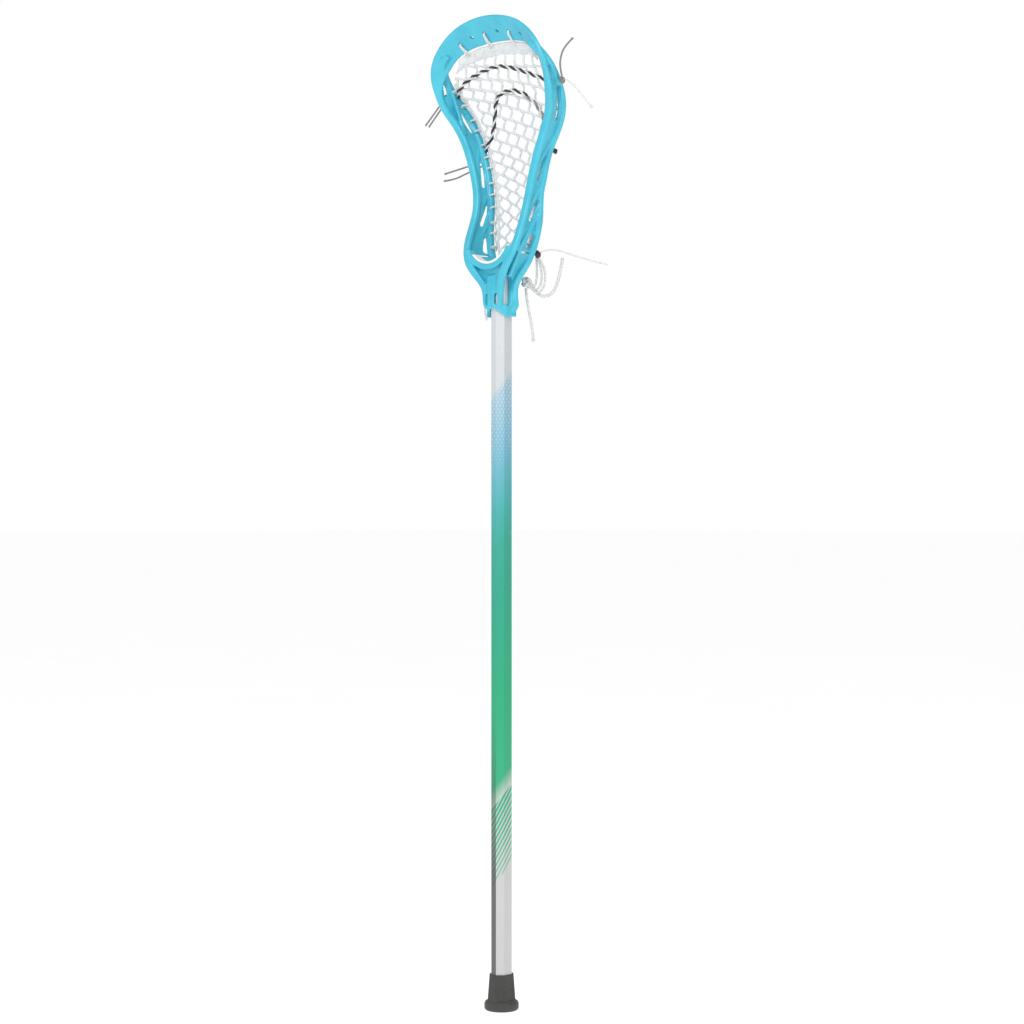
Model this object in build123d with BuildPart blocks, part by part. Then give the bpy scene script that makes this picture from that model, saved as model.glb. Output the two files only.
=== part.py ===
"""Lacrosse stick: a strung moulded head on an octagonal shaft, with a rubber butt cap.

Millimetres. The shaft stands along +Z, the head is at the top, the catching side faces -Y
and the pocket hangs towards +Y. The origin is the middle of the butt cap's flat end.
"""

from build123d import *
from math import atan2, cos, degrees, hypot, radians, sin, sqrt, tan
import os

os.makedirs("parts", exist_ok=True)

# Shaft and butt cap
SHAFT_WIDE = 20.0
SHAFT_DEEP = 24.5
SHAFT_CUT = 6.35
SHAFT_WALL = 1.7
SHAFT_BOTTOM = 13.0
SHAFT_TOP = 810.0
RUNNING_GAP = 0.2
CAP_HEIGHT = 40.0
FOOT_RADIUS = 19.0
FOOT_HEIGHT = 11.5

# Socket and throat of the head
SOCKET_BOTTOM = 761.0
SOCKET_TOP = 806.0
SOCKET_WALL = 4.9
SOCKET_GAP = 0.3
THROAT_RADIUS = 32.0
THROAT_HEIGHT = 850.0
LIP_FRONT = 22.5
SCREW_HEIGHT = 787.0

# Bars of the head
RIM_WIDE = 9.0
RIM_THICK = 6.4
SCOOP_THICK = 4.6
RAIL_WIDE = 8.5
RAIL_THICK = 8.0
STRUT = 4.8
WEB = 2.0

# Stringing
MESH_THICK = 2.0
SIDE_STRING = 2.0
MESH_INSET = RAIL_WIDE / 2 + 5.0
SHOOTER = 3.2
TAIL = 2.0
LACE = 3.6

# Front rim, right side: outer edge at mid thickness, from the socket up to the scoop
RIM = [
    (9.2, -11.2, 770), (15.8, -13.4, 790), (24, -18, 806), (34.5, -20, 820),
    (41.5, -16.5, 836), (43.4, -9, 857), (43.6, -1, 880), (46.8, 2.6, 905),
    (53.8, 3.2, 930), (66.3, 3.1, 960), (79.6, -2.5, 985), (86.3, -10, 1000),
]

# Scoop, right side and middle: lip edge and string edge of the sloping band
SCOOP_LIP = [
    (88.5, -17, 1015), (87.9, -23.5, 1030), (83.4, -27, 1045), (72, -28, 1061),
    (56, -28, 1074), (30, -28, 1084.5), (0, -28, 1088),
]
SCOOP_INNER = [
    (79.7, -13.5, 1013), (77, -13.5, 1026), (70, -12, 1038), (60, -11, 1048.5),
    (48, -9, 1056), (27, -7.5, 1061), (0, -6, 1063),
]

# Back rail, right side: middle of the bar, from the socket up into the scoop
RAIL = [
    (11.5, 3, 768), (14.8, 4.6, 790), (20, 6.5, 805), (26.5, 12.5, 820),
    (32, 16, 835), (36, 17.8, 850), (37.8, 20.6, 880), (40.3, 21.6, 905),
    (46.3, 22.6, 930), (58, 24.5, 958), (70.8, 22, 985), (78.3, 9.5, 1007),
    (80.5, -5, 1026), (75, -17, 1042), (64, -19.5, 1054),
]

# Sidewall struts, right side: from the back rail down to the front rim
STRUTS = [
    [(79.5, 0, 1019), (64, 6.5, 968)],
    [(59.5, 24, 961), (45, 4.5, 918)],
    [(40.5, 21.6, 906), (39.2, -3, 870)],
    [(37.5, 20, 874), (38, -7, 838), (21.5, -9.5, 804)],
]

# Sidewall web, right side: where it meets the rim and the rail, height by height
WEB_ENDS = [
    ((37.2, -18.2), (30.5, 15), 831), ((38.5, -9), (36, 17.8), 857), ((39, -1.2), (37.8, 20), 880),
    ((42, 2.4), (40.3, 21.6), 905), ((49.3, 3.2), (46.3, 22.6), 930), ((62, 3.1), (58, 24.3), 960),
    ((75, -2.3), (70.8, 22), 985), ((82, -10), (76, 14.5), 1000), ((84, -15.5), (79.5, 5), 1014),
    ((82.5, -18.5), (80.3, -6), 1028), ((76.5, -20), (74.5, -17), 1042),
]
# Slits in the web, seen from the side: ends as depth and height, and width
SLITS = [
    ((-10.5, 1027), (-6.5, 1012), 3.2), ((6.5, 1007), (18, 972), 4.4), ((17, 937), (13, 908), 4.0),
    ((17, 888), (5, 864), 4.4), ((12, 851), (7, 834), 8.0),
]

# Pocket: how deep the middle hangs at each of the rail's heights from 835 to 1026
POCKET_DEPTH = [27, 36, 43, 43, 39, 31, 23, 12, 3]


def octagon(margin):
    """Corner points of the shaft's outline, grown evenly by the margin."""
    x = SHAFT_WIDE / 2 + margin
    y = SHAFT_DEEP / 2 + margin
    cut = SHAFT_CUT + margin * (2 - sqrt(2))
    top = [(x, y - cut), (x - cut, y), (cut - x, y), (-x, y - cut)]
    return top + [(-px, -py) for px, py in top]


def mirrored(point):
    return (-point[0], point[1], point[2])


def both_sides(points):
    """The right side's points, bottom to middle, then the left side's back down."""
    left = [mirrored(p) for p in reversed(points) if p[0] > 0]
    return points + left


def tangents(points):
    """Direction of a run of points at each of them."""
    found = []
    for i in range(len(points)):
        before = Vector(points[max(i - 1, 0)])
        after = Vector(points[min(i + 1, len(points) - 1)])
        found.append((after - before).normalized())
    return found


def scoop_point(x, share, lift=0.0):
    """A place on the scoop: share 0 is the string edge, 1 the lip; lift is towards -Y."""
    for i in range(len(SCOOP_LIP) - 1):
        near, far = SCOOP_LIP[i + 1], SCOOP_LIP[i]
        if near[0] <= abs(x) <= far[0]:
            t = (abs(x) - near[0]) / (far[0] - near[0])
            lip = Vector(near) * (1 - t) + Vector(far) * t
            inner = Vector(SCOOP_INNER[i + 1]) * (1 - t) + Vector(SCOOP_INNER[i]) * t
            run = Vector(far) - Vector(near)
            face = run.cross(lip - inner).normalized()
            place = inner + (lip - inner) * share + face * lift
            side = 1 if x >= 0 else -1
            return (place.X * side, place.Y, place.Z)
    raise ValueError("that place isn't on the scoop")


# Pocket sections: height, half width, depth at the edge, depth in the middle
POCKET = [(822, 17, 18, 21.5)]
for (rail_x, rail_y, rail_z), depth in zip(RAIL[4:13], POCKET_DEPTH):
    POCKET.append((rail_z, rail_x - MESH_INSET, rail_y, depth))
POCKET += [(1040, 60, -8, -2), (1048, 50, -8, -4), (1055, 36, -6, -4)]


def pocket_depth(x, z):
    """Depth of the pocket's front face at a place across it."""
    for low, high in zip(POCKET, POCKET[1:]):
        if low[0] <= z <= high[0]:
            t = (z - low[0]) / (high[0] - low[0])
            half, edge, middle = [a * (1 - t) + b * t for a, b in zip(low[1:], high[1:])]
            return edge + (middle - edge) * (1 - (x / half) ** 2)
    raise ValueError("that height is off the pocket")


# Shaft: hollow octagonal tube
with BuildPart() as shaft:
    with BuildSketch(Plane.XY.offset(SHAFT_BOTTOM)):
        Polygon(*octagon(0), align=None)
    extrude(amount=SHAFT_TOP - SHAFT_BOTTOM)
    fillet(shaft.edges().filter_by(Axis.Z), radius=1.3)
    with BuildSketch(Plane.XY.offset(SHAFT_BOTTOM)):
        Polygon(*octagon(-SHAFT_WALL), align=None)
    extrude(amount=SHAFT_TOP - SHAFT_BOTTOM, mode=Mode.SUBTRACT)
    with BuildSketch(Plane.XZ):
        with Locations((0, SCREW_HEIGHT)):
            Circle(1.9)
    extrude(amount=-SHAFT_DEEP, mode=Mode.SUBTRACT)
shaft.part.label = "shaft_tube"

# Butt cap: rubber sleeve on a round foot
with BuildPart() as cap:
    with BuildSketch(Plane.XY.offset(FOOT_HEIGHT - 3)):
        Polygon(*octagon(4.2), align=None)
    with BuildSketch(Plane.XY.offset(CAP_HEIGHT)):
        Polygon(*octagon(1.9), align=None)
    loft(ruled=True)
    slanted = cap.edges().filter_by(lambda e: abs(e.tangent_at(0).Z) > 0.8)
    fillet(slanted, radius=2.2)
    fillet(cap.faces().sort_by(Axis.Z)[-1].edges(), radius=0.8)
    with BuildSketch(Plane.XZ):
        Rectangle(FOOT_RADIUS, FOOT_HEIGHT, align=(Align.MIN, Align.MIN))
        rim = vertices().group_by(Axis.X)[-1].sort_by(Axis.Y)
        fillet(rim[0], radius=3.5)
        fillet(vertices().group_by(Axis.X)[-1].sort_by(Axis.Y)[-1], radius=4.5)
    revolve(axis=Axis.Z)
    with BuildSketch(Plane.XY.offset(SHAFT_BOTTOM - RUNNING_GAP)):
        Polygon(*octagon(RUNNING_GAP), align=None)
    extrude(amount=CAP_HEIGHT, mode=Mode.SUBTRACT)
cap.part.label = "butt_cap"

# Head: front rim and scoop as one band, then rails, struts, throat and socket
with BuildPart() as head:
    rim_inner = [(x - RIM_WIDE, y, z) for x, y, z in RIM]
    outer = both_sides(RIM + SCOOP_LIP)
    inner = both_sides(rim_inner + SCOOP_INNER)
    middle = [tuple((Vector(a) + Vector(b)) * 0.5) for a, b in zip(outer, inner)]
    last_rim = len(RIM) - 1
    for i, along in enumerate(tangents(middle)):
        across = Vector(inner[i]) - Vector(outer[i])
        on_rim = i <= last_rim or i >= len(middle) - 1 - last_rim
        thick = RIM_THICK if on_rim else SCOOP_THICK
        with BuildSketch(Plane(middle[i], x_dir=across, z_dir=along)):
            RectangleRounded(across.length, thick, thick * 0.42)
    loft()
    for side in (RAIL, [mirrored(p) for p in RAIL]):
        for place, along in zip(side, tangents(side)):
            with BuildSketch(Plane(place, x_dir=(1, 0, 0), z_dir=along)):
                RectangleRounded(RAIL_WIDE, RAIL_THICK, 2.8)
        loft()
    for run in STRUTS + [[mirrored(p) for p in run] for run in STRUTS]:
        for start, end in zip(run, run[1:]):
            along = Vector(end) - Vector(start)
            with BuildSketch(Plane(start, x_dir=(1, 0, 0), z_dir=along)):
                RectangleRounded(STRUT, STRUT, 1.7)
            extrude(amount=along.length)
            if end != run[-1]:
                with Locations(end):
                    Sphere(STRUT / 2)
    # Sidewall webs, closed but for their slits
    for side in (1, -1):
        for (rim_x, rim_y), (rail_x, rail_y), height in WEB_ENDS:
            with BuildSketch(Plane.XY.offset(height)):
                with Locations((side * (rim_x + rail_x) / 2, (rim_y + rail_y) / 2)):
                    turn = degrees(atan2(rail_y - rim_y, side * (rail_x - rim_x)))
                    Rectangle(hypot(rail_x - rim_x, rail_y - rim_y), WEB, rotation=turn)
        loft(ruled=True)
    for (low_y, low_z), (high_y, high_z), width in SLITS:
        with BuildSketch(Plane.YZ):
            with Locations(((low_y + high_y) / 2, (low_z + high_z) / 2)):
                run = hypot(high_y - low_y, high_z - low_z) - width
                turn = degrees(atan2(high_z - low_z, high_y - low_y))
                SlotCenterToCenter(run, width, rotation=turn)
        extrude(amount=95, both=True, mode=Mode.SUBTRACT)
    # Throat block, set back between the ribs
    for height, half, front, back in ((796, 14, -11.5, 8), (812, 21, -16, 9.5), (829, 32, -16.5, 15)):
        with BuildSketch(Plane.XY.offset(height)):
            with Locations((0, (front + back) / 2)):
                Rectangle(half * 2, back - front)
    loft(ruled=True)
    # Socket sleeve with arched ends
    with BuildSketch(Plane.XY.offset(SOCKET_BOTTOM)):
        Polygon(*octagon(SOCKET_WALL), align=None)
        fillet(vertices(), radius=3)
    extrude(amount=SOCKET_TOP - SOCKET_BOTTOM)
    with BuildSketch(Plane.XZ.offset(-30)):
        with Locations((0, SOCKET_BOTTOM - 5)):
            Circle(14)
    extrude(amount=60, mode=Mode.SUBTRACT)
    # Round inside of the throat, with its lip across the front
    with BuildSketch(Plane.XZ.offset(-25)):
        with Locations((0, THROAT_HEIGHT)):
            Circle(THROAT_RADIUS)
    extrude(amount=45, mode=Mode.SUBTRACT)
    with BuildSketch(Plane.XZ.offset(15)):
        with Locations((0, THROAT_HEIGHT)):
            Circle(THROAT_RADIUS + 6)
            Circle(THROAT_RADIUS, mode=Mode.SUBTRACT)
        with Locations((0, THROAT_HEIGHT + 28)):
            Rectangle(100, 84, mode=Mode.SUBTRACT)
    extrude(amount=LIP_FRONT - 15)
    # Bore for the shaft, side slots and small front slots
    with BuildSketch(Plane.XY.offset(SOCKET_BOTTOM - 5)):
        Polygon(*octagon(SOCKET_GAP), align=None)
    extrude(amount=SHAFT_TOP - SOCKET_BOTTOM + 7, mode=Mode.SUBTRACT)
    with BuildSketch(Plane.YZ):
        with Locations((-5, 789)):
            SlotOverall(33, 10, rotation=90)
    extrude(amount=30, both=True, mode=Mode.SUBTRACT)
    for turn in (25, -25):
        facing = (sin(radians(turn)), -cos(radians(turn)), 0)
        with BuildSketch(Plane((0, 0, 780), x_dir=(facing[1], -facing[0], 0), z_dir=facing)):
            SlotOverall(13, 4.5, rotation=90)
        extrude(amount=25, mode=Mode.SUBTRACT)
    # Screw hole in the back of the socket, and six string holes in the scoop
    with BuildSketch(Plane.XZ):
        with Locations((0, SCREW_HEIGHT)):
            Circle(2.0)
    extrude(amount=-30, mode=Mode.SUBTRACT)
    for x in (-51, -31, -10.5, 10.5, 31, 51):
        start = Vector(scoop_point(x, 0.42, 6))
        end = Vector(scoop_point(x, 0.42, -6))
        with BuildSketch(Plane(start, z_dir=end - start)):
            Circle(2.1)
        extrude(amount=12, mode=Mode.SUBTRACT)
head.part.label = "head_frame"

# Head screw: pan head on the back of the socket
socket_back = SHAFT_DEEP / 2 + SOCKET_WALL
with BuildPart() as screw:
    with BuildSketch(Plane.XZ.offset(-socket_back)):
        with Locations((0, SCREW_HEIGHT)):
            Circle(3.6)
    extrude(amount=-2.4)
    fillet(screw.edges().sort_by(Axis.Y)[-1], radius=1.1)
    with BuildSketch(Plane.XZ.offset(-socket_back)):
        with Locations((0, SCREW_HEIGHT)):
            Circle(1.75)
    extrude(amount=9)
    with BuildSketch(Plane.XZ.offset(-socket_back - 2.4)):
        with Locations((0, SCREW_HEIGHT)):
            Rectangle(3.6, 0.8)
            Rectangle(0.8, 3.6)
    extrude(amount=1.2, mode=Mode.SUBTRACT)
screw.part.label = "head_screw"

# Ball stop: foam strip along the throat's front lip
with BuildPart() as stop:
    with BuildSketch(Plane.XZ.offset(13)):
        with Locations((0, THROAT_HEIGHT)):
            Circle(THROAT_RADIUS - 0.3)
            Circle(THROAT_RADIUS - 2.9, mode=Mode.SUBTRACT)
        with Locations((0, THROAT_HEIGHT + 22)):
            Rectangle(100, 84, mode=Mode.SUBTRACT)
    extrude(amount=8.5)
stop.part.label = "ball_stop"

# Pocket: thin hanging shell of mesh
with BuildPart() as pocket:
    for height, half, edge, depth in POCKET:
        with BuildSketch(Plane.XY.offset(height)):
            with BuildLine():
                front = Spline((-half, edge), (0, depth), (half, edge))
                back = Spline(*[(x, y + MESH_THICK) for x, y in ((-half, edge), (0, depth), (half, edge))])
                Line(front @ 0, back @ 0)
                Line(front @ 1, back @ 1)
            make_face()
    loft()
pocket.part.label = "pocket_mesh"


def string(label, points, diameter):
    """A string pulled tight along a smooth line."""
    with BuildPart() as made:
        with BuildLine() as line:
            Spline(*points)
        with BuildSketch(Plane(line.line @ 0, z_dir=line.line % 0)):
            Circle(diameter / 2)
        sweep(path=line.line)
    made.part.label = label
    return made.part


def corner_radii(points):
    """Bend radius at each corner of a free cord's route."""
    radii = []
    for before, corner, after in zip(points, points[1:], points[2:]):
        come, go = Vector(corner) - Vector(before), Vector(after) - Vector(corner)
        turn = radians(come.get_angle(go))
        radii.append(0.45 * min(come.length, go.length) / tan(turn / 2))
    return radii


def tail(label, points, diameter):
    """A loose end of string, as a plain tube."""
    radii = corner_radii(points)
    with BuildPart() as made:
        with BuildLine() as line:
            if radii:
                FilletPolyline(*points, radius=radii)
            else:
                Line(*points)
        with BuildSketch(Plane(line.line @ 0, z_dir=line.line % 0)):
            Circle(diameter / 2)
        sweep(path=line.line)
    made.part.label = label
    length = sum(edge.length for edge in line.edges())
    ratio = made.part.volume / (length * 3.14159 * diameter**2 / 4)
    bends = " ".join(f"{r:.0f}" for r in radii)
    print(f"{label}: length {length:.0f}, volume ratio {ratio:.3f}, bend radii {bends}")
    return made.part


def knot(label, place, radius):
    """Two pulled-down turns of string."""
    with BuildPart() as made:
        with Locations(place):
            Sphere(radius)
        with Locations((place[0], place[1] + radius * 0.4, place[2] - radius * 0.7)):
            Sphere(radius * 0.8)
    made.part.label = label
    return made.part


# Strings that hold the pocket to the head
side_line = [(x - RAIL_WIDE / 2 - 2.0, y - 1.8, z) for x, y, z in RAIL[4:13]]
right_string = string("sidewall_string_right", side_line, SIDE_STRING)
left_string = string("sidewall_string_left", [mirrored(p) for p in side_line], SIDE_STRING)
top_line = [scoop_point(x, -0.09) for x in (-58, -40, -20, 0, 20, 40, 58)]
top_string = string("top_string", top_line, SIDE_STRING)
bottom_line = [(-16, 19.5, 819), (-8, 21.5, 818.5), (0, 22.5, 818.3), (8, 21.5, 818.5), (16, 19.5, 819)]
bottom_string = string("bottom_string", bottom_line, SIDE_STRING)

# Shooting strings, woven across the pocket: an arch above and a horseshoe below
UPPER = [(-68, 1018), (-41, 1031), (-9, 1037), (6, 1036), (30, 1029), (60, 1017), (68, 1013)]
LOWER = [(-43, 958), (-34, 981), (-22, 1004), (-1, 1012), (22, 1008), (38, 991), (46, 965)]
shooter_lift = SHOOTER / 2 + 1.3
upper_line = [(x, pocket_depth(x, z) - shooter_lift, z) for x, z in UPPER]
lower_line = [(x, pocket_depth(x, z) - shooter_lift, z) for x, z in LOWER]
upper_shooter = string("shooting_string_upper", upper_line, SHOOTER)
lower_shooter = string("shooting_string_lower", lower_line, SHOOTER)

# Knots on the outside of the rails
knots = [
    knot("knot_upper_right", (88.6, 3.5, 1012), 3.0),
    knot("knot_upper_left", (-88.2, -1, 1012), 3.0),
    knot("knot_lower_right", (51.5, 30.6, 942), 2.6),
    knot("knot_lower_left", (-51.5, 30.6, 942), 2.6),
    knot("knot_bottom_right", (32, 23.4, 830), 3.4),
    knot("knot_bottom_left", (-28, 22, 812), 2.6),
    knot("knot_lace", (15, 23.8, 800), 5.0),
]

# Loose ends, each from its knot
upper_route = [(89.2, 3.2, 1014.8), (87.5, 1.5, 1025), (88.5, 1.5, 1036), (94, 2, 1047), (103, 5.5, 1055)]
tails = [
    tail("tail_left_upper_a", [(-90.7, -0.5, 1010.5), (-124, 2, 985)], TAIL),
    tail("tail_left_upper_b", [(-90, 2, 1008.5), (-119, 2.5, 983)], TAIL),
    tail("tail_left_lower_a", [(-53.8, 30.6, 941.5), (-98, 7, 928)], TAIL),
    tail("tail_left_lower_b", [(-52.5, 32.5, 938.5), (-76, 18, 927), (-88, 13, 921.5), (-98, 6, 920)], TAIL),
    tail("tail_right_upper_a", upper_route, TAIL),
    tail("tail_right_upper_b", [(91, 5.5, 1013), (99, 10, 1007), (106, 18, 994), (111, 27, 982)], TAIL),
    tail("tail_bottom_long", [(34.4, 25.7, 832), (42, 36, 837), (64, 56, 826), (92, 72, 817)], TAIL),
    tail(
        "tail_bottom_hanging",
        [(13, 24.8, 793.2), (17, 23, 776), (22, 25, 753), (24, 25.5, 734.5)],
        LACE - 0.6,
    ),
    tail("tail_bottom_left", [(-29, 21, 810), (-39, 12.5, 797), (-40, 10, 782), (-31, 7.5, 760)], TAIL),
]
lace_route = [(19.2, 27, 798), (24, 31, 784), (38, 41.5, 785), (43.5, 47, 806), (45.5, 49.5, 826)]
tails.append(tail("tail_lace", lace_route, LACE))

singles = [shaft.part, cap.part, head.part, screw.part, stop.part, pocket.part]
singles += [right_string, left_string, top_string, bottom_string, upper_shooter, lower_shooter]
for piece in singles + knots + tails:
    export_step(piece, f"parts/{piece.label}.step")
    box = piece.bounding_box()
    print(piece.label, "volume", round(piece.volume), "box", box.min, box.max)
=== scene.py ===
"""Looks of the lacrosse stick: moulded head, strung pocket, lacquered shaft and rubber cap."""

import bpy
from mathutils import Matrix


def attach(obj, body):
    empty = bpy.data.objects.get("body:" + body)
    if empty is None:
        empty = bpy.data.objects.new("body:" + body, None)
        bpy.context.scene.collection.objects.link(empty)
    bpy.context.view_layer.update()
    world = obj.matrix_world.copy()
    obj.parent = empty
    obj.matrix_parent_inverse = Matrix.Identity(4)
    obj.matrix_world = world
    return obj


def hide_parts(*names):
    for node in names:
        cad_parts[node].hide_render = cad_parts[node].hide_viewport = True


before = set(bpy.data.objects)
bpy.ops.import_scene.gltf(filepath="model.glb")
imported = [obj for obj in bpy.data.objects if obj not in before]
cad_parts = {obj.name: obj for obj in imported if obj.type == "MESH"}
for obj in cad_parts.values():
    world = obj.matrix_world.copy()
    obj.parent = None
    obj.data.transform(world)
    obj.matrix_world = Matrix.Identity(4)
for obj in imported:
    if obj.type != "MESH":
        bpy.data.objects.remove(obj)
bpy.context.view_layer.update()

import math

import bpy
import numpy as np
from mathutils import Euler, Vector, noise
from mathutils.bvhtree import BVHTree

MM = 0.001
VIEW = Vector((math.sqrt(0.5), -math.sqrt(0.5), 0))
RIGHT = Vector((math.sqrt(0.5), math.sqrt(0.5), 0))

# ---------------------------------------------------------------- materials


def linear(red, green, blue):
    """Display colour, 0 to 255, as a linear one with alpha."""
    out = []
    for value in (red, green, blue):
        value /= 255
        out.append(value / 12.92 if value <= 0.04045 else ((value + 0.055) / 1.055) ** 2.4)
    return (*out, 1.0)


class Looks:
    """A material and short ways to add nodes to it."""

    def __init__(self, name):
        self.material = bpy.data.materials.new(name)
        self.material.use_nodes = True
        self.tree = self.material.node_tree
        self.shader = self.tree.nodes["Principled BSDF"]
        self.place = self.node("ShaderNodeTexCoord").outputs["Object"]

    def node(self, kind, **inputs):
        made = self.tree.nodes.new(kind)
        for key, value in inputs.items():
            self.put(made.inputs[key.replace("_", " ")], value)
        return made

    def put(self, socket, value):
        if isinstance(value, bpy.types.NodeSocket):
            self.tree.links.new(value, socket)
        else:
            socket.default_value = value

    def set(self, **inputs):
        for key, value in inputs.items():
            self.put(self.shader.inputs[key.replace("_", " ")], value)

    def math(self, operation, first, second=0.0, third=0.0):
        made = self.tree.nodes.new("ShaderNodeMath")
        made.operation = operation
        for socket, value in zip(made.inputs, (first, second, third)):
            self.put(socket, value)
        return made.outputs[0]

    def noise(self, scale, detail=3.0, rough=0.5, place=None):
        made = self.node("ShaderNodeTexNoise", Scale=scale, Detail=detail, Roughness=rough)
        self.put(made.inputs["Vector"], place or self.place)
        return made.outputs["Fac"]

    def spread(self, value, low, high, to_low, to_high):
        made = self.node("ShaderNodeMapRange")
        keys = ("Value", "From Min", "From Max", "To Min", "To Max")
        for key, number in zip(keys, (value, low, high, to_low, to_high)):
            self.put(made.inputs[key], number)
        return made.outputs["Result"]

    def ramp(self, value, stops):
        made = self.tree.nodes.new("ShaderNodeValToRGB")
        band = made.color_ramp
        while len(band.elements) < len(stops):
            band.elements.new(0.5)
        for element, (place, colour) in zip(band.elements, stops):
            element.position = place
            element.color = colour
        self.put(made.inputs["Fac"], value)
        return made.outputs["Color"]

    def mix(self, share, first, second):
        """Blends two colours; sockets 6 and 7 are the colour ones."""
        made = self.tree.nodes.new("ShaderNodeMix")
        made.data_type = "RGBA"
        self.put(made.inputs["Factor"], share)
        self.put(made.inputs[6], first)
        self.put(made.inputs[7], second)
        return made.outputs[2]

    def bump(self, height, strength, distance, under=None):
        made = self.node("ShaderNodeBump", Height=height, Strength=strength, Distance=distance)
        if under is not None:
            self.put(made.inputs["Normal"], under)
        return made.outputs["Normal"]

    def stretched(self, scale, turn=(0, 0, 0)):
        made = self.node("ShaderNodeMapping", Scale=scale, Rotation=turn)
        self.put(made.inputs["Vector"], self.place)
        return made.outputs["Vector"]


def head_plastic():
    look = Looks("head_plastic")
    cloud = look.noise(38, 4, 0.55)
    tone = look.ramp(cloud, [(0.35, linear(58, 178, 203)), (0.65, linear(68, 190, 212))])
    edge = look.node("ShaderNodeNewGeometry").outputs["Pointiness"]
    # lighter tone on convex edges: wear together with a painted highlight
    wear_and_edge_highlight = look.spread(edge, 0.52, 0.60, 0.0, 0.45)
    tone = look.mix(wear_and_edge_highlight, tone, linear(126, 224, 240))
    # deep blue in hollows and joints: painted shade
    painted_hollow_shade = look.spread(edge, 0.49, 0.42, 0.0, 0.75)
    tone = look.mix(painted_hollow_shade, tone, linear(24, 122, 170))
    grain = look.noise(2600, 2, 0.6)
    flow = look.noise(90, 3, 0.5)
    under = look.bump(flow, 0.12, 0.0006)
    look.set(
        Base_Color=tone, Roughness=look.spread(look.noise(140, 3), 0.3, 0.7, 0.3, 0.42),
        Normal=look.bump(grain, 0.1, 0.0002, under), IOR=1.5, Coat_Weight=0.15, Coat_Roughness=0.2,
    )
    return look.material


def cord_look(name, light, dark, grain=900.0, rough=0.75, fuzz=0.35):
    """Braided or knitted cord: crossing yarns, a little fuzz, soft dirt, and painted shade in the grooves
    between the yarns.
    """
    look = Looks(name)
    yarns = []
    for turn in (0.7, -0.7):
        wave = look.node("ShaderNodeTexWave", Scale=grain / 6.283, Distortion=0.6)
        wave.wave_profile = "SIN"
        look.put(wave.inputs["Vector"], look.stretched((1, 1, 1), (turn, 0.3, turn)))
        yarns.append(wave.outputs["Fac"])
    weave = look.math("MULTIPLY", yarns[0], yarns[1])
    soil = look.noise(160, 4, 0.6)
    # darker between the yarns: painted groove shade, made deeper in patches by the dirt noise
    share = look.math("MULTIPLY", look.math("SUBTRACT", 1.0, weave), look.spread(soil, 0.3, 0.7, 0.25, 0.8))
    fibre = look.noise(4200, 2, 0.7)
    look.set(
        Base_Color=look.mix(share, light, dark), Roughness=rough, Sheen_Weight=fuzz, Sheen_Roughness=0.5,
        Normal=look.bump(fibre, 0.25, 0.0001, look.bump(weave, 0.6, 0.0005)), IOR=1.45,
    )
    return look.material


# Colour of the shaft's lacquer at heights in metres, from the cap to the head
SHAFT_SPAN = 0.81
SHAFT_TONES = [
    (0.000, (192, 192, 191)), (0.150, (196, 197, 196)), (0.235, (186, 198, 190)), (0.255, (50, 172, 125)),
    (0.345, (42, 172, 124)), (0.460, (50, 168, 140)), (0.515, (58, 172, 152)), (0.560, (82, 180, 182)),
    (0.615, (128, 190, 212)), (0.680, (168, 202, 220)), (0.688, (214, 219, 222)), (0.810, (222, 224, 226)),
]
# Heights between which the lower lines run, in metres
LINES_FROM, LINES_TO = 0.15, 0.235


def shaft_lacquer():
    """Lacquer that runs from silver through blue and green to silver, with dots above and lines below."""
    look = Looks("shaft_lacquer")
    parts = look.node("ShaderNodeSeparateXYZ", Vector=look.place)
    side = look.math("ADD", parts.outputs["X"], parts.outputs["Y"])
    height = look.math("MULTIPLY_ADD", side, -0.9, parts.outputs["Z"])
    stops = [(z / SHAFT_SPAN, linear(*rgb)) for z, rgb in SHAFT_TONES]
    tone = look.ramp(look.math("DIVIDE", height, SHAFT_SPAN), stops)
    # a slanted lattice of pale dots near the top and of green lines near the bottom
    lattice = look.math("MULTIPLY", wave_of(look, side, parts, 1), wave_of(look, side, parts, -1))
    rising = look.spread(height, 0.585, 0.672, 0.0, 1.0)
    top = look.math("MULTIPLY", rising, look.math("LESS_THAN", height, 0.684))
    dots = look.math("GREATER_THAN", lattice, look.spread(top, 0.0, 1.0, 1.05, 0.42))
    tone = look.mix(look.math("MULTIPLY", dots, 0.55), tone, linear(226, 232, 238))
    under = look.math("LESS_THAN", height, LINES_TO)
    low = look.math("MULTIPLY", under, look.math("GREATER_THAN", height, LINES_FROM))
    thinning = look.spread(height, LINES_FROM, LINES_TO, 0.86, 0.2)
    lines = look.math("GREATER_THAN", wave_of(look, side, parts, -1), thinning)
    tone = look.mix(look.math("MULTIPLY", low, lines), tone, linear(58, 170, 132))
    # painted shade: the front face is darkened to grey towards the bottom, in place of a dark reflection
    normal = look.tree.nodes["Texture Coordinate"].outputs["Normal"]
    facing = look.node("ShaderNodeSeparateXYZ", Vector=normal)
    front = look.math("LESS_THAN", facing.outputs["Y"], -0.93)
    front_facet_shade = look.math("MULTIPLY", front, look.spread(parts.outputs["Z"], 0.33, 0.15, 0.0, 0.85))
    tone = look.mix(front_facet_shade, tone, linear(62, 66, 64))
    brushed = look.noise(30, 3, 0.6, look.stretched((60, 60, 1)))
    speck = look.noise(900, 2, 0.5)
    rubbed = look.spread(look.noise(16, 5, 0.7), 0.62, 0.75, 0.0, 0.2)
    look.set(
        Base_Color=look.mix(rubbed, tone, linear(205, 210, 212)), Metallic=0.45,
        Roughness=look.spread(brushed, 0.2, 0.8, 0.26, 0.36),
        Normal=look.bump(brushed, 0.03, 0.0002, look.bump(speck, 0.04, 0.0001)),
        Coat_Weight=0.3, Coat_Roughness=0.15,
    )
    return look.material


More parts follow.
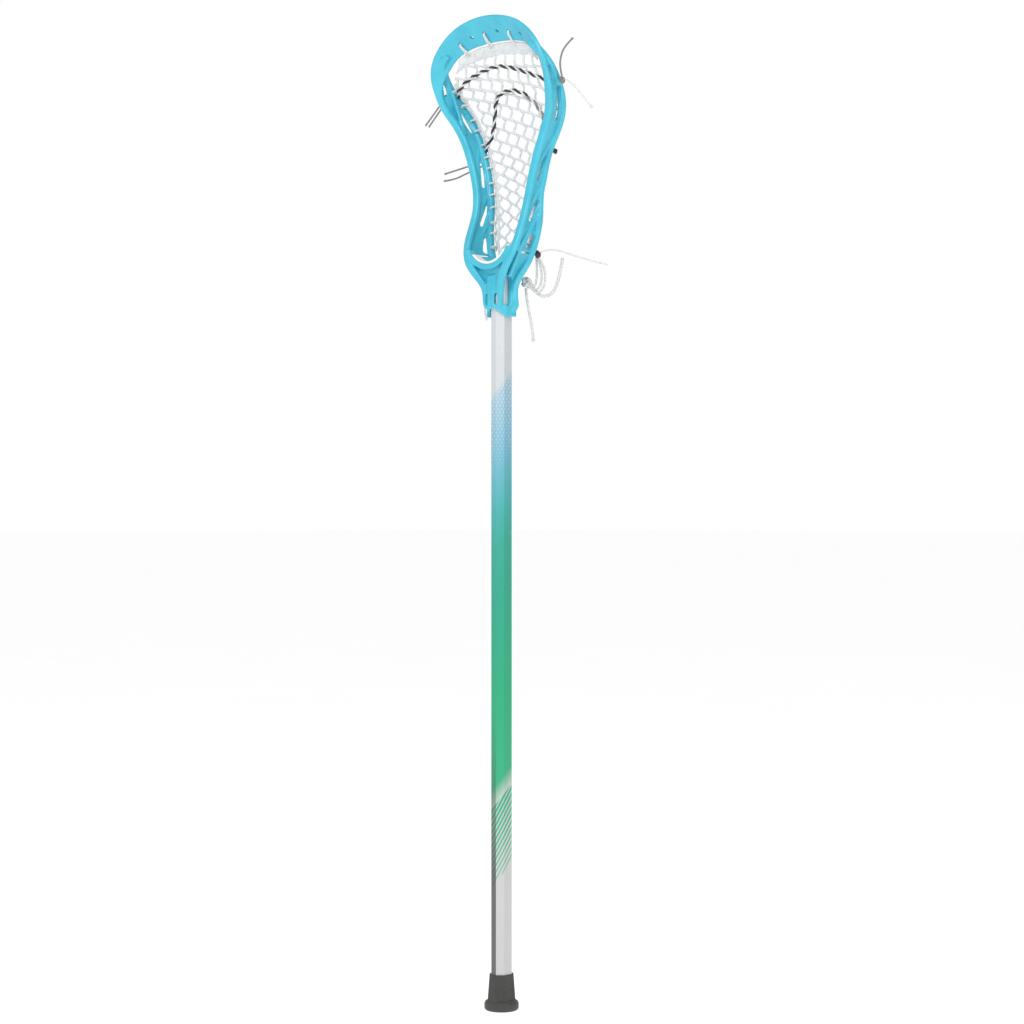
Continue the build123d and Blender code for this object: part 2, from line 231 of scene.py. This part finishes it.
def wave_of(look, side, parts, way):
    """Slanted wave across the shaft, 0 to 1; way is 1 or -1."""
    run = look.math("MULTIPLY_ADD", side, 1150.0 * way, look.math("MULTIPLY", parts.outputs["Z"], 850.0))
    return look.math("MULTIPLY_ADD", look.math("SINE", run), 0.5, 0.5)


def cap_rubber():
    look = Looks("cap_rubber")
    cloud = look.noise(70, 5, 0.6)
    tone = look.ramp(cloud, [(0.3, linear(46, 46, 45)), (0.7, linear(64, 64, 62))])
    dust = look.spread(look.noise(420, 4, 0.7), 0.55, 0.8, 0.0, 0.5)
    pebble = look.node("ShaderNodeTexVoronoi", Scale=1100.0)
    look.put(pebble.inputs["Vector"], look.place)
    look.set(
        Base_Color=look.mix(dust, tone, linear(92, 91, 88)),
        Roughness=look.spread(cloud, 0.3, 0.7, 0.55, 0.75),
        Normal=look.bump(pebble.outputs["Distance"], 0.25, 0.0003), IOR=1.5, Sheen_Weight=0.15,
    )
    return look.material


def screw_steel():
    look = Looks("screw_steel")
    streak = look.noise(40, 4, 0.6, look.stretched((30, 1, 30)))
    look.set(
        Base_Color=look.ramp(streak, [(0.3, linear(150, 150, 150)), (0.7, linear(196, 196, 193))]),
        Metallic=1.0, Roughness=look.spread(streak, 0.2, 0.8, 0.25, 0.45),
        Normal=look.bump(streak, 0.1, 0.0001),
    )
    return look.material


def stop_foam():
    look = Looks("stop_foam")
    cells = look.node("ShaderNodeTexVoronoi", Scale=1400.0)
    look.put(cells.inputs["Vector"], look.place)
    tones = [(0.0, linear(214, 214, 214)), (0.6, linear(244, 244, 243))]
    look.set(
        Base_Color=look.ramp(cells.outputs["Distance"], tones),
        Roughness=0.85, Normal=look.bump(cells.outputs["Distance"], 0.5, 0.0003), Sheen_Weight=0.2,
    )
    return look.material


PLASTIC = head_plastic()
MESH_WHITE = cord_look("mesh_white", linear(232, 234, 235), linear(196, 199, 201), 1100)
STRING_WHITE = cord_look("string_white", linear(236, 234, 232), linear(200, 196, 194), 1300)
STRING_GREY = cord_look("string_grey", linear(150, 148, 146), linear(96, 94, 93), 1300)
STRING_BLACK = cord_look("string_black", linear(44, 47, 48), linear(18, 20, 21), 1300, 0.6, 0.25)
LACE_WHITE = cord_look("lace_white", linear(226, 226, 222), linear(178, 178, 174), 700)

# ---------------------------------------------------------------- building helpers


def across(direction):
    """Two directions square to this one and to each other."""
    helper = Vector((0, 0, 1)) if abs(direction.z) < 0.9 else Vector((1, 0, 0))
    first = direction.cross(helper).normalized()
    return first, direction.cross(first).normalized()


def frames(points, closed=False):
    """Square directions carried along a route without twisting."""
    count = len(points)
    ways = []
    for i in range(count):
        before = points[i - 1] if closed or i else points[0]
        after = points[(i + 1) % count] if closed or i < count - 1 else points[-1]
        ways.append((after - before).normalized())
    first, second = across(ways[0])
    out = []
    for way in ways:
        first = (first - way * first.dot(way)).normalized()
        second = way.cross(first).normalized()
        out.append((first, second))
    return out


def tube(verts, faces, points, radius, sides=8, closed=False):
    """Adds a tube along the points; radius is one number or one for each point."""
    start = len(verts)
    count = len(points)
    sizes = radius if isinstance(radius, (list, tuple)) else [radius] * count
    for point, (first, second), size in zip(points, frames(points, closed), sizes):
        for j in range(sides):
            angle = 2 * math.pi * j / sides
            verts.append(point + first * (math.cos(angle) * size) + second * (math.sin(angle) * size))
    for i in range(count if closed else count - 1):
        low, high = start + i * sides, start + (i + 1) % count * sides
        for j in range(sides):
            k = (j + 1) % sides
            faces.append((low + j, low + k, high + k, high + j))
    if not closed:
        faces.append(tuple(reversed(range(start, start + sides))))
        faces.append(tuple(range(start + (count - 1) * sides, start + count * sides)))


def along(points):
    """Distance run at each point."""
    run = [0.0]
    for before, after in zip(points, points[1:]):
        run.append(run[-1] + (after - before).length)
    return run


def helix(points, radius, turn, phase):
    """The route of one strand twisted round the points."""
    out = []
    for point, (first, second), run in zip(points, frames(points), along(points)):
        angle = 2 * math.pi * (run / turn + phase)
        out.append(point + first * (math.cos(angle) * radius) + second * (math.sin(angle) * radius))
    return out


def curve_line(name, points, order=3, resolution=12):
    """A curve through a few given points, in metres."""
    data = bpy.data.curves.new(name, "CURVE")
    data.dimensions = "3D"
    spline = data.splines.new("NURBS")
    spline.points.add(len(points) - 1)
    for target, point in zip(spline.points, points):
        target.co = (*point, 1)
    spline.order_u = order
    spline.use_endpoint_u = True
    spline.resolution_u = resolution
    return data


def smooth_line(points, order=3, resolution=12):
    """Points in order along a smooth curve led by a few given ones."""
    data = curve_line("guide", points, order, resolution)
    guide = bpy.data.objects.new("guide", data)
    bpy.context.scene.collection.objects.link(guide)
    made = bpy.data.meshes.new_from_object(guide)
    out = [vertex.co.copy() for vertex in made.vertices]
    bpy.data.objects.remove(guide)
    bpy.data.meshes.remove(made)
    bpy.data.curves.remove(data)
    return out


def evenly(points, step):
    """The same route with its points a step apart."""
    run = along(points)
    count = max(2, round(run[-1] / step))
    out, i = [], 0
    for k in range(count + 1):
        target = run[-1] * k / count
        while i < len(run) - 2 and run[i + 1] < target:
            i += 1
        length = max(run[i + 1] - run[i], 1e-9)
        out.append(points[i].lerp(points[i + 1], min(max((target - run[i]) / length, 0), 1)))
    return out


def add(name, data, materials, body="stick", nodes=()):
    """Puts a mesh or curve into the scene as one visible piece."""
    piece = bpy.data.objects.new(name, data)
    bpy.context.scene.collection.objects.link(piece)
    for material in materials:
        data.materials.append(material)
    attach(piece, body)
    if nodes:
        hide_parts(*nodes)
    return piece


def solid(name, verts, faces, materials, nodes=(), marks=None):
    """A smooth-shaded piece from points and faces; marks picks a face's material."""
    data = bpy.data.meshes.new(name)
    data.from_pydata([tuple(v) for v in verts], [], faces)
    data.update()
    data.shade_smooth()
    piece = add(name, data, materials, nodes=nodes)
    if marks is not None:
        data.polygons.foreach_set("material_index", marks)
    return piece


def vectors(rows):
    return [Vector(row) * MM for row in rows]


def flipped(point):
    return Vector((-point.x, point.y, point.z))


# ---------------------------------------------------------------- head


def taubin(data, rounds, shrink=0.5, grow=-0.53):
    """Rounds off the corners of a mesh and keeps its bulk."""
    count = len(data.vertices)
    place = np.empty(count * 3)
    data.vertices.foreach_get("co", place)
    place = place.reshape(count, 3)
    edges = np.empty(len(data.edges) * 2, dtype=np.int64)
    data.edges.foreach_get("vertices", edges)
    one, two = edges.reshape(-1, 2).T
    links = np.bincount(one, minlength=count) + np.bincount(two, minlength=count)
    for _ in range(rounds):
        for factor in (shrink, grow):
            total = np.zeros_like(place)
            for axis in range(3):
                total[:, axis] = np.bincount(one, place[two, axis], count)
                total[:, axis] += np.bincount(two, place[one, axis], count)
            place = place + factor * (total / links[:, None] - place)
    data.vertices.foreach_set("co", place.ravel())
    data.update()


HEAD_VOXEL = 0.9 * MM
HEAD_ROUNDS = 7  # How often the head's corners are rounded


def moulded_head():
    """The head with every joint and edge rounded, as it leaves the mould."""
    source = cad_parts["head_frame"]
    copy = source.copy()
    copy.data = source.data.copy()
    copy.parent = None
    bpy.context.scene.collection.objects.link(copy)
    remesh = copy.modifiers.new("remesh", "REMESH")
    remesh.mode = "VOXEL"
    remesh.voxel_size = HEAD_VOXEL
    made = bpy.data.meshes.new_from_object(copy.evaluated_get(bpy.context.evaluated_depsgraph_get()))
    bpy.data.objects.remove(copy)
    taubin(made, HEAD_ROUNDS)
    made.name = "moulded_head"
    made.materials.clear()
    made.shade_smooth()
    return add("moulded_head", made, [PLASTIC], nodes=["head_frame"])


moulded_head()

# ---------------------------------------------------------------- pocket

# Scoop band: the edge on its lip and the edge the strings hang from, right side, in mm
SCOOP_LIP = vectors([(88.5, -17, 1015), (87.9, -23.5, 1030), (83.4, -27, 1045), (72, -28, 1061),
                     (56, -28, 1074), (30, -28, 1084.5), (0, -28, 1088)])
SCOOP_INNER = vectors([(79.7, -13.5, 1013), (77, -13.5, 1026), (70, -12, 1038), (60, -11, 1048.5),
                       (48, -9, 1056), (27, -7.5, 1061), (0, -6, 1063)])
# Middle of the back rail, right side, in mm
RAIL = vectors([(32, 16, 835), (36, 17.8, 850), (37.8, 20.6, 880), (40.3, 21.6, 905), (46.3, 22.6, 930),
                (58, 24.5, 958), (70.8, 22, 985), (78.3, 9.5, 1007), (80.5, -5, 1026)])
RAIL_HALF = 4.25 * MM
# Half width of the mesh at heights, in mm
MESH_HALF = [(822, 17), (835, 22.7), (850, 26.7), (880, 28.5), (905, 31), (930, 37), (958, 48.7), (985, 61.5),
             (1007, 69), (1026, 71.2), (1040, 60), (1048, 50), (1055, 36)]


def scoop_point(x, share, lift=0.0):
    """A place on the scoop: share 0 is the string edge, 1 the lip; lift is towards the front."""
    for far, near, far_in, near_in in zip(SCOOP_LIP, SCOOP_LIP[1:], SCOOP_INNER, SCOOP_INNER[1:]):
        if near.x <= abs(x) <= far.x:
            t = (abs(x) - near.x) / (far.x - near.x)
            lip = near.lerp(far, t)
            inner = near_in.lerp(far_in, t)
            face = (far - near).cross(lip - inner).normalized()
            place = inner + (lip - inner) * share + face * lift
            return place if x >= 0 else flipped(place)
    raise ValueError("that place isn't on the scoop")


def at_height(z, table):
    heights, values = zip(*table)
    return float(np.interp(z / MM, heights, values)) * MM


def rail_at(z, side):
    """Middle of the back rail at a height; side is 1 for right and -1 for left."""
    heights = [p.z for p in RAIL]
    place = [float(np.interp(z, heights, [p[axis] for p in RAIL])) for axis in (0, 1)]
    return Vector((side * place[0], place[1], z))


def faces_tree(node):
    corners = [node.matrix_world @ vertex.co for vertex in node.data.vertices]
    return BVHTree.FromPolygons(corners, [tuple(p.vertices) for p in node.data.polygons])


# Net: height of a row of openings, a cord's radius, and the heights it runs between
ROW = 14.7 * MM
CORD = 1.3 * MM
LOW, HIGH = 823 * MM, 1054.5 * MM
POCKET_FRONT = faces_tree(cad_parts["pocket_mesh"])


def on_pocket(x, z, lift=0.0):
    """The front of the pocket's sheet at x and z, moved forward by lift; None beside it."""
    hit = POCKET_FRONT.ray_cast(Vector((x, -0.3, z)), Vector((0, 1, 0)))[0]
    return None if hit is None else Vector((x, hit.y - lift, z))


def hung(x, z, lift=0.0):
    """As on_pocket, but from the nearest height below that the sheet has."""
    while on_pocket(x, z) is None and z > LOW:
        z -= 1 * MM
    return on_pocket(x, z, lift)


def pitch(z):
    """Distance from one column of openings to the next."""
    return float(np.interp(z / MM, (870, 930, 985), (9.0, 11.4, 15.0))) * MM


def step(z):
    """How far one column's openings stand above the next column's, in rows."""
    return float(np.interp(z / MM, (900, 950, 1000, 1030), (0.5, 0.36, 0.34, 0.12)))


def opening(i, z):
    """How far column i stands open at a height, -1 to 1."""
    return math.cos(2 * math.pi * (z / ROW + i * step(z)))


WIDTHS = {}


def across_pocket(run, z):
    """The place at this distance from the middle, measured over the pocket's surface; None past its edge."""
    key = round(z / MM * 2)
    if key not in WIDTHS:
        z = key * MM / 2
        half = at_height(z, MESH_HALF) - 0.3 * MM
        xs = [half * k / 40 for k in range(-40, 41)]
        places = [on_pocket(x, z) for x in xs]
        places = [p for p in places if p is not None]
        length = along(places) if places else [0.0]
        middle = float(np.interp(0.0, [p.x for p in places], length)) if places else 0.0
        WIDTHS[key] = ([value - middle for value in length], [p.x for p in places])
    lengths, xs = WIDTHS[key]
    if not xs or not lengths[0] <= run <= lengths[-1]:
        return None
    return float(np.interp(run, lengths, xs))


def cord_place(i, z, lift):
    """Where cord i lies at a height; None where the pocket doesn't reach."""
    wave = 0.2 * pitch(z) * (opening(i - 1, z) - opening(i, z)) / 2
    wobble = 0.5 * MM * noise.noise(Vector((i * 3.7, 0, z * 70)))
    x = across_pocket((i - 0.5) * pitch(z) + wave + wobble, z)
    return None if x is None else on_pocket(x, z, lift)


def net():
    """Knitted mesh: wavy cords down the pocket, tied to each other between the openings."""
    verts, faces = [], []
    count = 8
    for i in range(-count, count + 2):
        run = []
        z = LOW
        while z <= HIGH:
            place = cord_place(i, z, -1.0 * MM)
            if place is not None:
                place.y += 0.2 * MM * math.sin(4 * math.pi * z / ROW + i)
                run.append(place)
            if (place is None or z + 1.6 * MM > HIGH) and run:
                if len(run) > 2:
                    sizes = [CORD * (1 + 0.12 * noise.noise(p * 400)) for p in run]
                    tube(verts, faces, run, sizes, 8)
                run = []
            z += 1.6 * MM
    for i in range(-count, count + 1):
        z = LOW + 2 * MM
        before = opening(i, z)
        while z < HIGH:
            here, after = opening(i, z), opening(i, z + 0.5 * MM)
            if here < before and here <= after:
                ends = [cord_place(i, z + 1.5 * MM, -0.9 * MM), cord_place(i + 1, z - 1.5 * MM, -0.9 * MM)]
                if None not in ends:
                    middle = (ends[0] + ends[1]) / 2 + Vector((0, -0.2 * MM, 0))
                    size = [CORD * share for share in (1.15, 1.25, 0.95, 0.82, 0.95, 1.25, 1.15)]
                    bend = [ends[0], ends[0].lerp(middle, 0.5), middle, middle.lerp(ends[1], 0.5), ends[1]]
                    route = evenly(bend, (ends[1] - ends[0]).length / 6)
                    tube(verts, faces, route[:7], size[:len(route[:7])], 8)
            before = here
            z += 0.5 * MM
    for side in (-1, 1):
        edge = []
        z = LOW
        while z <= 1026 * MM:
            place = on_pocket(side * (at_height(z, MESH_HALF) - 0.8 * MM), z, -1.0 * MM)
            if place is not None:
                place.x += side * 0.4 * MM * math.sin(z * 900)
                edge.append(place)
            z += 2 * MM
        tube(verts, faces, edge, 1.35 * MM, 8)
    return solid("pocket_net", verts, faces, [MESH_WHITE], nodes=["pocket_mesh"])


net()


def selvedge():
    """Doubled edge of the mesh where it hangs from the scoop."""
    verts, faces = [], []
    across_count, down_count = 150, 12
    for i in range(across_count + 1):
        u = -1 + 2 * i / across_count
        x = u * 70 * MM
        top = scoop_point(x, -0.06)
        low_x = x * 0.90
        low_z = top.z - 12.5 * MM
        low = hung(low_x, min(low_z, at_top(low_x)), 0.2 * MM)
        for j in range(down_count + 1):
            t = j / down_count
            place = top.lerp(low, t) + Vector((0, 1.6 * MM * math.sin(math.pi * t), 0))
            knit = math.sin(x / MM * 1.9) * math.sin(t * 13 + x / MM * 0.8)
            place.y += 0.45 * MM * knit
            place.z += 0.5 * MM * math.sin(x / MM * 0.62) * t
            verts.append(place)
    for i in range(across_count):
        for j in range(down_count):
            a = i * (down_count + 1) + j
            faces.append((a, a + 1, a + down_count + 2, a + down_count + 1))
    piece = solid("mesh_selvedge", verts, faces, [MESH_WHITE])
    thick = piece.modifiers.new("thick", "SOLIDIFY")
    thick.thickness = 1.6 * MM
    thick.offset = 0
    return piece


def at_top(x):
    """Height of the mesh's top edge at x, less a little."""
    return float(np.interp(abs(x) / MM, (36, 50, 60, 71), (1055, 1048, 1040, 1026))) * MM - 1.0 * MM


selvedge()

# ---------------------------------------------------------------- strings


def top_strings():
    """The string under the scoop's edge and the stitches up to the scoop's holes."""
    verts, faces = [], []
    hem = [scoop_point(x * MM, -0.09, 0.5 * MM) for x in range(-60, 61, 4)]
    tube(verts, faces, hem, 1.0 * MM, 8)
    for hole in (-51, -10.5, 31):
        for spread in (-1, 1):
            x = hole * MM
            route = [
                scoop_point(x, 0.42, -2.5 * MM),
                scoop_point(x, 0.45, 2.6 * MM),
                scoop_point(x + spread * 0.4 * MM, 0.32, 3.7 * MM),
                scoop_point(x + spread * 1.0 * MM, 0.10, 3.4 * MM),
                scoop_point(x + spread * 1.8 * MM, -0.10, 2.4 * MM),
                scoop_point(x + spread * 2.0 * MM, -0.20, 0.5 * MM),
                scoop_point(x + spread * 2.0 * MM, -0.16, -1.5 * MM),
            ]
            tube(verts, faces, smooth_line(route), 1.2 * MM, 8)
    return solid("top_lacing", verts, faces, [STRING_WHITE], nodes=["top_string"])


top_strings()


def side_lacing(side, name, node):
    """String along the inside of a rail, with a stitch through the rail at every hitch."""
    verts, faces = [], []
    line = []
    z = 837 * MM
    while z <= 1026 * MM:
        rail = rail_at(z, side)
        hitch = math.sin(2 * math.pi * z / (15 * MM))
        inwards = RAIL_HALF + (2.2 + 0.6 * hitch) * MM
        line.append(rail + Vector((-side * inwards, 2.4 * MM + 0.4 * MM * hitch, 0)))
        z += 2 * MM
    tube(verts, faces, line, 1.0 * MM, 8)
    for k in range(13):
        z = (841 + 14.6 * k + 1.5 * math.sin(k * 2.3)) * MM
        rail = rail_at(z, side)
        centre = rail + Vector((-side * (RAIL_HALF + 1.2 * MM), -0.6 * MM, 0))
        ring = []
        for j in range(20):
            angle = 2 * math.pi * j / 20
            wide = side * MM * math.cos(angle)
            ring.append(centre + Vector((2.7 * wide, 3.6 * MM * math.sin(angle), wide)))
        tube(verts, faces, ring, 1.0 * MM, 8, closed=True)
    return solid(name, verts, faces, [STRING_WHITE], nodes=[node])


side_lacing(1, "side_lacing_right", "sidewall_string_right")
side_lacing(-1, "side_lacing_left", "sidewall_string_left")


def bottom_lacing():
    """Two cords twisted together that close the pocket at the throat."""
    verts, faces = [], []
    line = smooth_line(vectors([(-27, 17, 830), (-16, 19.5, 820), (-8, 21.5, 818.5), (0, 22.5, 818.3),
                                (8, 21.5, 818.5), (16, 19.5, 820), (27, 17, 830)]))
    line = evenly(line, 1.2 * MM)
    for phase in (0, 0.5):
        tube(verts, faces, helix(line, 0.8 * MM, 9 * MM, phase), 0.85 * MM, 8)
    return solid("bottom_lacing", verts, faces, [STRING_WHITE], nodes=["bottom_string"])


bottom_lacing()

# Places of the two shooting strings on the pocket, as x and height from left to right, in mm
UPPER = [(-68, 1018), (-41, 1031), (-9, 1037), (6, 1036), (30, 1029), (60, 1017), (68, 1013)]
LOWER = [(-43, 958), (-34, 981), (-22, 1004), (-1, 1012), (22, 1008), (38, 991), (46, 965)]


def shooter(name, node, rows, start, end, grey_from):
    """Two cords twisted together and woven across the pocket, one black and one pale."""
    guide = [Vector(start) * MM]
    for x, z in rows:
        guide.append(on_pocket(x * MM, z * MM, 1.7 * MM))
    guide.append(Vector(end) * MM)
    line = evenly(smooth_line(guide, 3, 16), 1.0 * MM)
    lifted = []
    for point in line:
        front = on_pocket(point.x, point.z, 1.7 * MM)
        if front is not None and abs(point.x) < at_height(point.z, MESH_HALF) - 1 * MM:
            point = front
        lifted.append(point)
    verts, faces, marks = [], [], []
    for strand, (phase, size) in enumerate(((0.0, 1.45 * MM), (0.5, 1.05 * MM))):
        start_face = len(faces)
        tube(verts, faces, helix(lifted, 0.95 * MM, 15 * MM, phase), size, 10)
        made = len(faces) - start_face
        for k in range(made):
            share = k / made
            if strand:
                marks.append(1)
            else:
                marks.append(2 if share > grey_from else 0)
    return solid(name, verts, faces, [STRING_BLACK, STRING_WHITE, STRING_GREY], [node], marks)


shooter("shooter_upper", "shooting_string_upper", UPPER, (-77, 8, 1010), (77, 8, 1008), 1.1)
shooter("shooter_lower", "shooting_string_lower", LOWER, (-52, 24, 948), (53.5, 24, 950), 0.66)

# ---------------------------------------------------------------- knots


def knot(verts, faces, centre, radius, turn):
    """A pulled-tight overhand knot of a cord four tenths of the knot's radius thick."""
    route = []
    count = 60
    for k in range(count):
        t = 2 * math.pi * k / count
        ring = 2 + math.cos(3 * t)
        trefoil = (ring * math.cos(2 * t), ring * math.sin(2 * t), 1.3 * math.sin(3 * t))
        point = Vector(trefoil) * (radius / 3.3)
        point.rotate(turn)
        route.append(centre + point)
    tube(verts, faces, route, radius * 0.4, 8, closed=True)


def knots():
    table = [
        ("knot_upper_right", (88.6, 3.5, 1012), 3.0, (1.2, 0.3, 0.9), STRING_GREY, "shooter_cord"),
        ("knot_upper_left", (-88.2, -1, 1012), 3.0, (1.2, 0.3, -0.9), STRING_BLACK, "shooter_cord"),
        ("knot_lower_right", (51.5, 30.6, 942), 2.6, (0.9, 0.5, 0.9), STRING_BLACK, "shooter_cord"),
        ("knot_lower_left", (-51.5, 30.6, 942), 2.6, (0.9, 0.5, -0.9), STRING_GREY, "shooter_cord"),
        ("knot_bottom_right", (32, 23.4, 830), 3.4, (0.7, 0.9, 0.5), STRING_BLACK, "shooter_cord"),
        ("knot_bottom_left", (-28, 22, 812), 2.6, (0.7, 0.9, -0.5), STRING_WHITE, "white_cord"),
        ("knot_lace", (15, 23.8, 800), 5.0, (1.4, 0.2, 0.6), LACE_WHITE, "white_cord"),
    ]
    for name, centre, radius, turn, material, slot in table:
        verts, faces = [], []
        middle = Vector(centre) * MM
        knot(verts, faces, middle, radius * MM, Euler(turn))
        second = middle + Vector((0, 0.3, -0.6)) * radius * MM
        knot(verts, faces, second, radius * 0.75 * MM, Euler(turn[::-1]))
        if name == "knot_lace":
            for route, size in LACE_LOOPS:
                tube(verts, faces, smooth_line(vectors(route)), size * MM, 8)
        solid("tied_" + name, verts, faces, [material], nodes=[name])


# Slack turns of the lace between the two bottom knots, in mm
LACE_LOOPS = [
    ([(32, 24, 828), (36, 30, 818), (35, 34, 800), (29, 31, 787), (22, 26, 790), (15, 24, 800)], 1.3),
    ([(31, 24, 828), (32, 29, 817), (31, 32, 802), (27, 30, 791), (21, 27, 793), (15, 24, 800)], 1.2),
    ([(30, 24, 828), (27, 28, 817), (25, 30, 804), (23, 29, 795), (19, 26, 796), (15, 24, 802)], 1.2),
]
knots()

# ---------------------------------------------------------------- loose ends

# Name, route in mm, diameter in mm, length in mm, material, and girth of the sealed tip over the cord's
TAILS = [
    ("tail_left_upper_a", [(-90.7, -0.5, 1010.5), (-124, 2, 985)], 2.0, 42, STRING_GREY, 1.15),
    ("tail_left_upper_b", [(-90, 2, 1008.5), (-119, 2.5, 983)], 2.0, 39, STRING_GREY, 1.15),
    ("tail_left_lower_a", [(-53.8, 30.6, 941.5), (-98, 7, 928)], 2.0, 52, STRING_GREY, 1.15),
    ("tail_left_lower_b", [(-52.5, 32.5, 938.5), (-76, 18, 927), (-88, 13, 921.5), (-98, 6, 920)], 2.0, 55,
     STRING_GREY, 1.15),
    ("tail_right_upper_a",
     [(89.2, 3.2, 1014.8), (87.5, 1.5, 1025), (88.5, 1.5, 1036), (94, 2, 1047), (103, 5.5, 1055)], 2.0, 45,
     STRING_GREY, 1.3),
    ("tail_right_upper_b", [(91, 5.5, 1013), (99, 10, 1007), (106, 18, 994), (111, 27, 982)], 2.0, 43,
     STRING_WHITE, 1.5),
    ("tail_bottom_long", [(34.4, 25.7, 832), (42, 36, 837), (64, 56, 826), (92, 72, 817)], 2.0, 78,
     STRING_WHITE, 1.2),
    ("tail_bottom_hanging", [(13, 24.8, 793.2), (17, 23, 776), (22, 25, 753), (24, 25.5, 734.5)], 3.0, 60,
     LACE_WHITE, 1.2),
    ("tail_bottom_left", [(-29, 21, 810), (-39, 12.5, 797), (-40, 10, 782), (-31, 7.5, 760)], 2.0, 56,
     STRING_WHITE, 1.1),
    ("tail_lace",
     [(19.2, 27, 798), (24, 31, 784), (38, 41.5, 785), (43.5, 47, 806), (45.5, 49.5, 826)], 3.6, 72,
     LACE_WHITE, 1.05),
]


def tails():
    for name, route, diameter, length, material, girth in TAILS:
        points = vectors(route)
        data = curve_line(name + "_line", points)
        data.bevel_depth = diameter / 2 * MM
        data.bevel_resolution = 4
        data.use_fill_caps = True
        cord = add("loose_" + name, data, [material], nodes=[name])
        way = (points[-1] - points[-2]).normalized()
        verts, faces = [], []
        half = diameter / 2 * MM
        tip = [points[-1] + way * (k * MM) for k in (-2.6, -2.2, -0.8, 0.2, 0.5)]
        tube(verts, faces, tip, [half * s for s in (0.98, girth, girth * 1.03, girth * 0.9, 0.45)], 10)
        seal = solid("tip_" + name, verts, faces, [material])


tails()

# ---------------------------------------------------------------- carried-over CAD nodes

for node_name, material in (
    ("shaft_tube", shaft_lacquer()),
    ("butt_cap", cap_rubber()),
    ("head_screw", screw_steel()),
    ("ball_stop", stop_foam()),
):
    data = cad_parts[node_name].data
    for index in range(len(data.materials)):
        data.materials[index] = material

# ---------------------------------------------------------------- floor, light, camera


FLOOR_DROP = 55 * MM  # The cap comes down 50 mm when it is pulled off, and the floor clears it


def floor():
    look = Looks("floor")
    grain = look.ramp(look.noise(3, 3), [(0.3, (0.93, 0.93, 0.93, 1)), (0.7, (0.95, 0.95, 0.95, 1))])
    look.set(
        Base_Color=grain, Roughness=0.9,
        Emission_Color=(1, 1, 1, 1), Emission_Strength=0.43,
    )
    data = bpy.data.meshes.new("floor")
    side = 60
    corners = [(x * side, y * side, -FLOOR_DROP) for x, y in ((-1, -1), (1, -1), (1, 1), (-1, 1))]
    data.from_pydata(corners, [], [(0, 1, 2, 3)])
    data.materials.append(look.material)
    plane = bpy.data.objects.new("floor", data)
    bpy.context.scene.collection.objects.link(plane)


def lamp(name, place, target, size, power):
    data = bpy.data.lights.new(name, "AREA")
    data.shape = "DISK"
    data.size = size
    data.energy = power
    made = bpy.data.objects.new(name, data)
    bpy.context.scene.collection.objects.link(made)
    made.location = place
    made.rotation_mode = "QUATERNION"
    made.rotation_quaternion = (Vector(target) - Vector(place)).to_track_quat("-Z", "Y")


def surroundings():
    """White all round, with a darker side on the right that metal and gloss can pick up."""
    world = bpy.data.worlds.new("studio")
    bpy.context.scene.world = world
    world.use_nodes = True
    tree = world.node_tree
    tree.nodes.clear()
    place = tree.nodes.new("ShaderNodeTexCoord")
    dot = tree.nodes.new("ShaderNodeVectorMath")
    dot.operation = "DOT_PRODUCT"
    dot.inputs[1].default_value = (0.78, 0.62, -0.05)
    tree.links.new(place.outputs["Generated"], dot.inputs[0])
    shade = tree.nodes.new("ShaderNodeMapRange")
    for key, number in (("From Min", 0.3), ("From Max", 0.95), ("To Min", 0.62), ("To Max", 0.30)):
        shade.inputs[key].default_value = number
    tree.links.new(dot.outputs["Value"], shade.inputs["Value"])
    lit = tree.nodes.new("ShaderNodeBackground")
    lit.inputs["Color"].default_value = (1, 1, 1, 1)
    tree.links.new(shade.outputs["Result"], lit.inputs["Strength"])
    seen = tree.nodes.new("ShaderNodeBackground")
    seen.inputs["Color"].default_value = (1, 1, 1, 1)
    seen.inputs["Strength"].default_value = 1.0
    path = tree.nodes.new("ShaderNodeLightPath")
    both = tree.nodes.new("ShaderNodeMixShader")
    tree.links.new(path.outputs["Is Camera Ray"], both.inputs["Fac"])
    tree.links.new(lit.outputs[0], both.inputs[1])
    tree.links.new(seen.outputs[0], both.inputs[2])
    out = tree.nodes.new("ShaderNodeOutputWorld")
    tree.links.new(both.outputs[0], out.inputs["Surface"])


floor()
surroundings()
lamp("key", (1.2, -2.4, 2.4), (0, 0, 0.8), 1.2, 40)
lamp("side", (2.6, 0.6, 1.6), (0, 0, 0.8), 1.0, 14)

camera_data = bpy.data.cameras.new("camera")
camera_data.lens = 89.6
camera_data.sensor_width = 36
CAMERA_DISTANCE, CAMERA_ASIDE, CAMERA_HEIGHT = 2.8, 0.0115, 0.547
camera = bpy.data.objects.new("camera", camera_data)
bpy.context.scene.collection.objects.link(camera)
camera.location = VIEW * CAMERA_DISTANCE + RIGHT * CAMERA_ASIDE + Vector((0, 0, CAMERA_HEIGHT))
camera.rotation_mode = "QUATERNION"
camera.rotation_quaternion = (-VIEW).to_track_quat("-Z", "Y")
bpy.context.scene.camera = camera
bpy.context.scene.view_settings.view_transform = "Standard"
